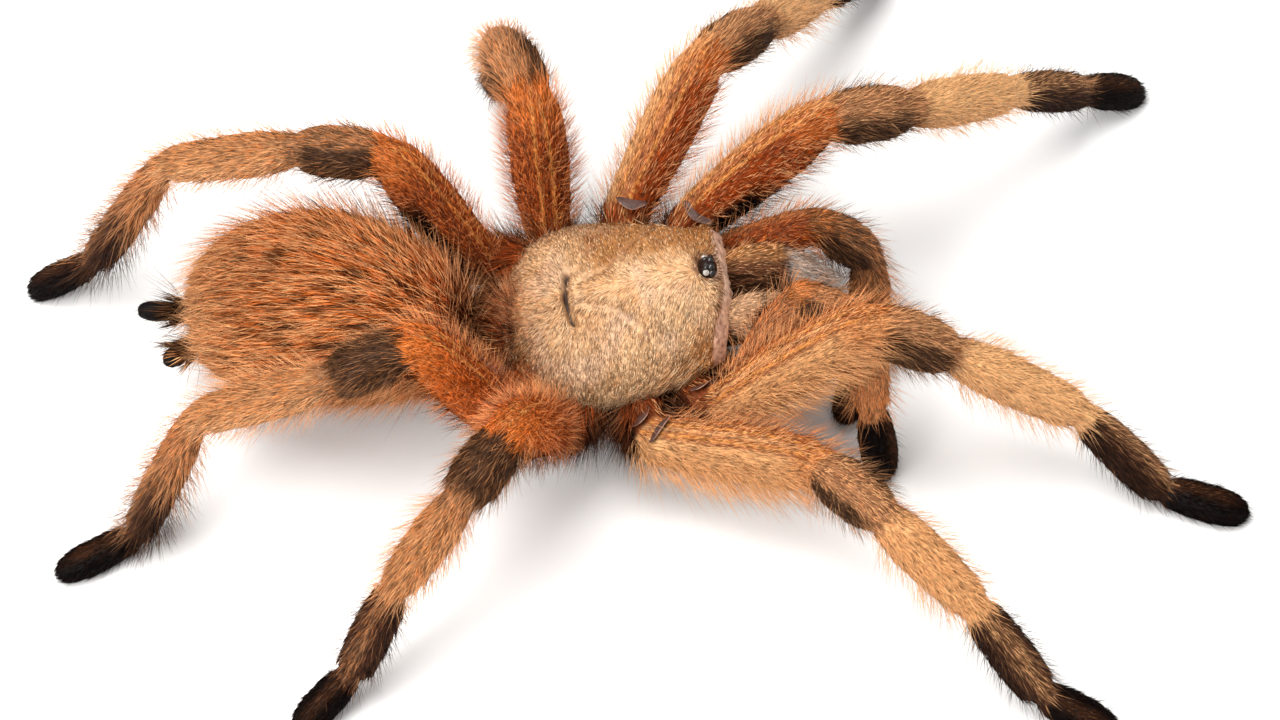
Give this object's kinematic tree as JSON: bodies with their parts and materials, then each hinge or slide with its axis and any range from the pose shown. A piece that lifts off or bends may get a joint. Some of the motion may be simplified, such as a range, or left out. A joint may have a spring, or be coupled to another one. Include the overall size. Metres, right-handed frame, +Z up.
{
  "type": "tarantula",
  "caption": "Adult tarantula standing with its legs spread, a still life-size museum model with orange fur, blonde carapace and dark feet.",
  "frame": {"origin": "on the floor under the middle of the animal's reach", "axes": "+Z up from the floor, the head faces -Y and the animal's left side is +X"},
  "size_m": [0.0836, 0.1018, 0.0238],
  "materials": {
    "fur": "long orange hair over brown skin, near black on the feet",
    "carapace": "short blonde hair lying flat on a hard shell",
    "spinneret": "short black velvet hair",
    "fang": "glossy black horn",
    "eye": "wet black lens"
  },
  "bodies": {
    "root": {"eye_front_middle_L": "eye", "eye_front_middle_R": "eye", "eye_front_side_L": "eye", "eye_front_side_R": "eye", "eye_rear_side_L": "eye", "eye_rear_side_R": "eye", "eye_rear_middle_L": "eye", "eye_rear_middle_R": "eye", "carapace": "carapace", "chelicera_L": "fur", "fang_L": "fang", "chelicera_R": "fur", "fang_R": "fang", "sternum": "fur", "pedicel": "fur", "abdomen": "fur", "spinneret_long_L": "spinneret", "spinneret_long_R": "spinneret", "spinneret_short_L": "spinneret", "spinneret_short_R": "spinneret", "leg_L1_femur": "fur", "leg_L1_shin": "fur", "leg_L1_foot": "fur", "leg_L2_femur": "fur", "leg_L2_shin": "fur", "leg_L2_foot": "fur", "leg_L3_femur": "fur", "leg_L3_shin": "fur", "leg_L3_foot": "fur", "leg_L4_femur": "fur", "leg_L4_shin": "fur", "leg_L4_foot": "fur", "leg_R1_femur": "fur", "leg_R1_shin": "fur", "leg_R1_foot": "fur", "leg_R2_femur": "fur", "leg_R2_shin": "fur", "leg_R2_foot": "fur", "leg_R3_femur": "fur", "leg_R3_shin": "fur", "leg_R3_foot": "fur", "leg_R4_femur": "fur", "leg_R4_shin": "fur", "leg_R4_foot": "fur", "palp_L_femur": "fur", "palp_L_shin": "fur", "palp_L_foot": "fur", "palp_R_femur": "fur", "palp_R_shin": "fur", "palp_R_foot": "fur", "leg_L1_coxa": "fur", "leg_L2_coxa": "fur", "leg_L3_coxa": "fur", "leg_L4_coxa": "fur", "leg_R1_coxa": "fur", "leg_R2_coxa": "fur", "leg_R3_coxa": "fur", "leg_R4_coxa": "fur", "palp_L_coxa": "fur", "palp_R_coxa": "fur"}
  },
  "joints": []
}
